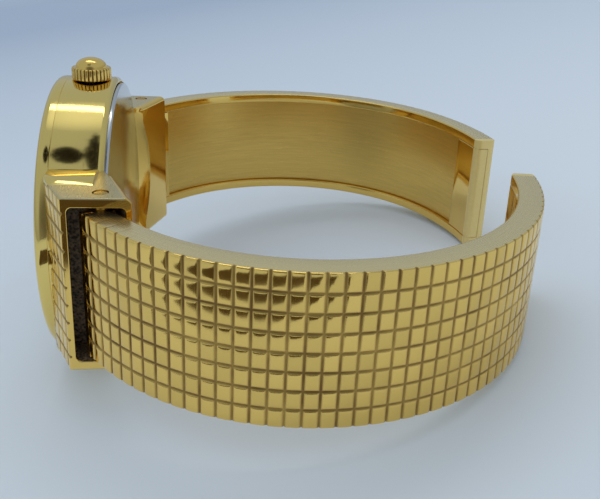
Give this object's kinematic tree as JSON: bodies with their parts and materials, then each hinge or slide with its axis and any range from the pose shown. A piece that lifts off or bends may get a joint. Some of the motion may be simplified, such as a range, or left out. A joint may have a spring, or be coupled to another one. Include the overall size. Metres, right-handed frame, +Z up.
{
  "type": "cuff watch",
  "caption": "Cuff watch with a round case, hooded lugs and two stiff curved arms patterned with small squares, sprung shut on pins.",
  "frame": {"origin": "on the surface that the watch lies on, under the middle of its outer box", "axes": "+Z up, as the watch lies on its side with the crown up; the dial faces -X, the cuff opens towards +X, and +Y runs from one arm to the other"},
  "size_m": [0.0532, 0.0608, 0.0312],
  "materials": {
    "polished_gold": "gold-plated, polished to a mirror",
    "patterned_gold": "gold-plated, polished squares between dark grooves",
    "brushed_gold": "gold-plated, brushed along the arm",
    "steel": "polished stainless steel",
    "glass": "clear mineral glass",
    "dial_white": "satin cream lacquer",
    "brass_raw": "fine-grained plated brass",
    "rubber": "matt nitrile rubber",
    "nylon": "moulded white plastic",
    "copper_wire": "lacquered copper wire",
    "board": "green circuit board"
  },
  "bodies": {
    "watch_head": {"case_body": "polished_gold", "bezel": "polished_gold", "crystal": "glass", "crystal_gasket": "nylon", "dial": "dial_white", "dial_ring": "polished_gold", "hour_markers": "polished_gold", "case_back": "steel", "case_back_gasket": "rubber", "movement_holder": "nylon", "mainplate": "brass_raw", "train_bridge": "steel", "bridge_screws": "steel", "button_cell": "steel", "cell_clip": "brass_raw", "coil": "copper_wire", "coil_core": "steel", "stator": "steel", "circuit_board": "board", "quartz_can": "steel", "crown_tube": "steel", "near_hinge_pin": "polished_gold", "far_hinge_pin": "polished_gold"},
    "near_arm": {"near_arm_shell": "patterned_gold", "near_arm_liner": "brushed_gold", "near_hinge_block": "polished_gold", "near_tip_block": "polished_gold", "near_hinge_spring": "steel"},
    "far_arm": {"far_arm_shell": "patterned_gold", "far_arm_liner": "brushed_gold", "far_hinge_block": "polished_gold", "far_tip_block": "polished_gold", "far_hinge_spring": "steel"},
    "crown_slider": {"crown_gasket": "rubber"},
    "crown_and_stem": {"crown": "polished_gold", "stem": "steel"},
    "lever": {"setting_lever": "steel"},
    "second_work": {"fourth_wheel": "brass_raw", "second_hand": "polished_gold"},
    "minute_work": {"centre_wheel": "brass_raw", "minute_hand": "polished_gold"},
    "hour_work": {"hour_wheel": "brass_raw", "hour_hand": "polished_gold"},
    "rotor": {"rotor": "steel"},
    "intermediate": {"intermediate_wheel": "brass_raw"},
    "third": {"third_wheel": "brass_raw"},
    "minute_gear": {"minute_wheel": "brass_raw"}
  },
  "joints": [
    {"name": "near_arm_hinge", "type": "hinge", "parent": "watch_head", "child": "near_arm", "pos_m": [-0.01766, -0.0172, 0.01414], "axis": [-0.1658, 0, -0.9862], "range_deg": [0, 30], "stiffness_Nm_per_rad": 0.05, "springref_deg": -28.65},
    {"name": "far_arm_hinge", "type": "hinge", "parent": "watch_head", "child": "far_arm", "pos_m": [-0.01766, 0.0172, 0.01414], "axis": [0.1658, 0, 0.9862], "range_deg": [0, 30], "stiffness_Nm_per_rad": 0.05, "springref_deg": -28.65},
    {"name": "crown_pull", "type": "slide", "parent": "watch_head", "child": "crown_slider", "axis": [0.1658, 0, 0.9862], "range_m": [0, 0.0006]},
    {"name": "crown_spin", "type": "hinge", "parent": "crown_slider", "child": "crown_and_stem", "pos_m": [-0.01818, 0, 0.02944], "axis": [0.1658, 0, 0.9862], "continuous": true},
    {"name": "setting_lever_swing", "type": "hinge", "parent": "watch_head", "child": "lever", "pos_m": [-0.01875, 0.0029, 0.02213], "axis": [-0.9862, 0, 0.1658], "range_deg": [0, 14.46]},
    {"name": "second_spin", "type": "hinge", "parent": "watch_head", "child": "second_work", "pos_m": [-0.01983, 0, 0.01451], "axis": [0.9862, 0, -0.1658], "continuous": true},
    {"name": "minute_spin", "type": "hinge", "parent": "watch_head", "child": "minute_work", "pos_m": [-0.01983, 0, 0.01451], "axis": [0.9862, 0, -0.1658], "continuous": true},
    {"name": "hour_spin", "type": "hinge", "parent": "watch_head", "child": "hour_work", "pos_m": [-0.01983, 0, 0.01451], "axis": [0.9862, 0, -0.1658], "continuous": true},
    {"name": "rotor_spin", "type": "hinge", "parent": "watch_head", "child": "rotor", "pos_m": [-0.02009, -0.00369, 0.01294], "axis": [0.9862, 0, -0.1658], "continuous": true},
    {"name": "intermediate_spin", "type": "hinge", "parent": "watch_head", "child": "intermediate", "pos_m": [-0.01993, -0.00232, 0.01389], "axis": [0.9862, 0, -0.1658], "continuous": true},
    {"name": "third_spin", "type": "hinge", "parent": "watch_head", "child": "third", "pos_m": [-0.0195, 0.00164, 0.01643], "axis": [0.9862, 0, -0.1658], "continuous": true},
    {"name": "minute_gear_spin", "type": "hinge", "parent": "watch_head", "child": "minute_gear", "pos_m": [-0.01958, -0.00122, 0.01594], "axis": [0.9862, 0, -0.1658], "continuous": true}
  ],
  "couplings": [
    {"joint": "setting_lever_swing", "follows": "crown_pull", "rad_per_m": 417.76},
    {"joint": "minute_spin", "follows": "second_spin", "ratio": 0.016667},
    {"joint": "hour_spin", "follows": "second_spin", "ratio": 0.0013889},
    {"joint": "third_spin", "follows": "second_spin", "ratio": -0.13333},
    {"joint": "intermediate_spin", "follows": "second_spin", "ratio": -5},
    {"joint": "rotor_spin", "follows": "second_spin", "ratio": 30},
    {"joint": "minute_gear_spin", "follows": "second_spin", "ratio": -0.0055556}
  ]
}
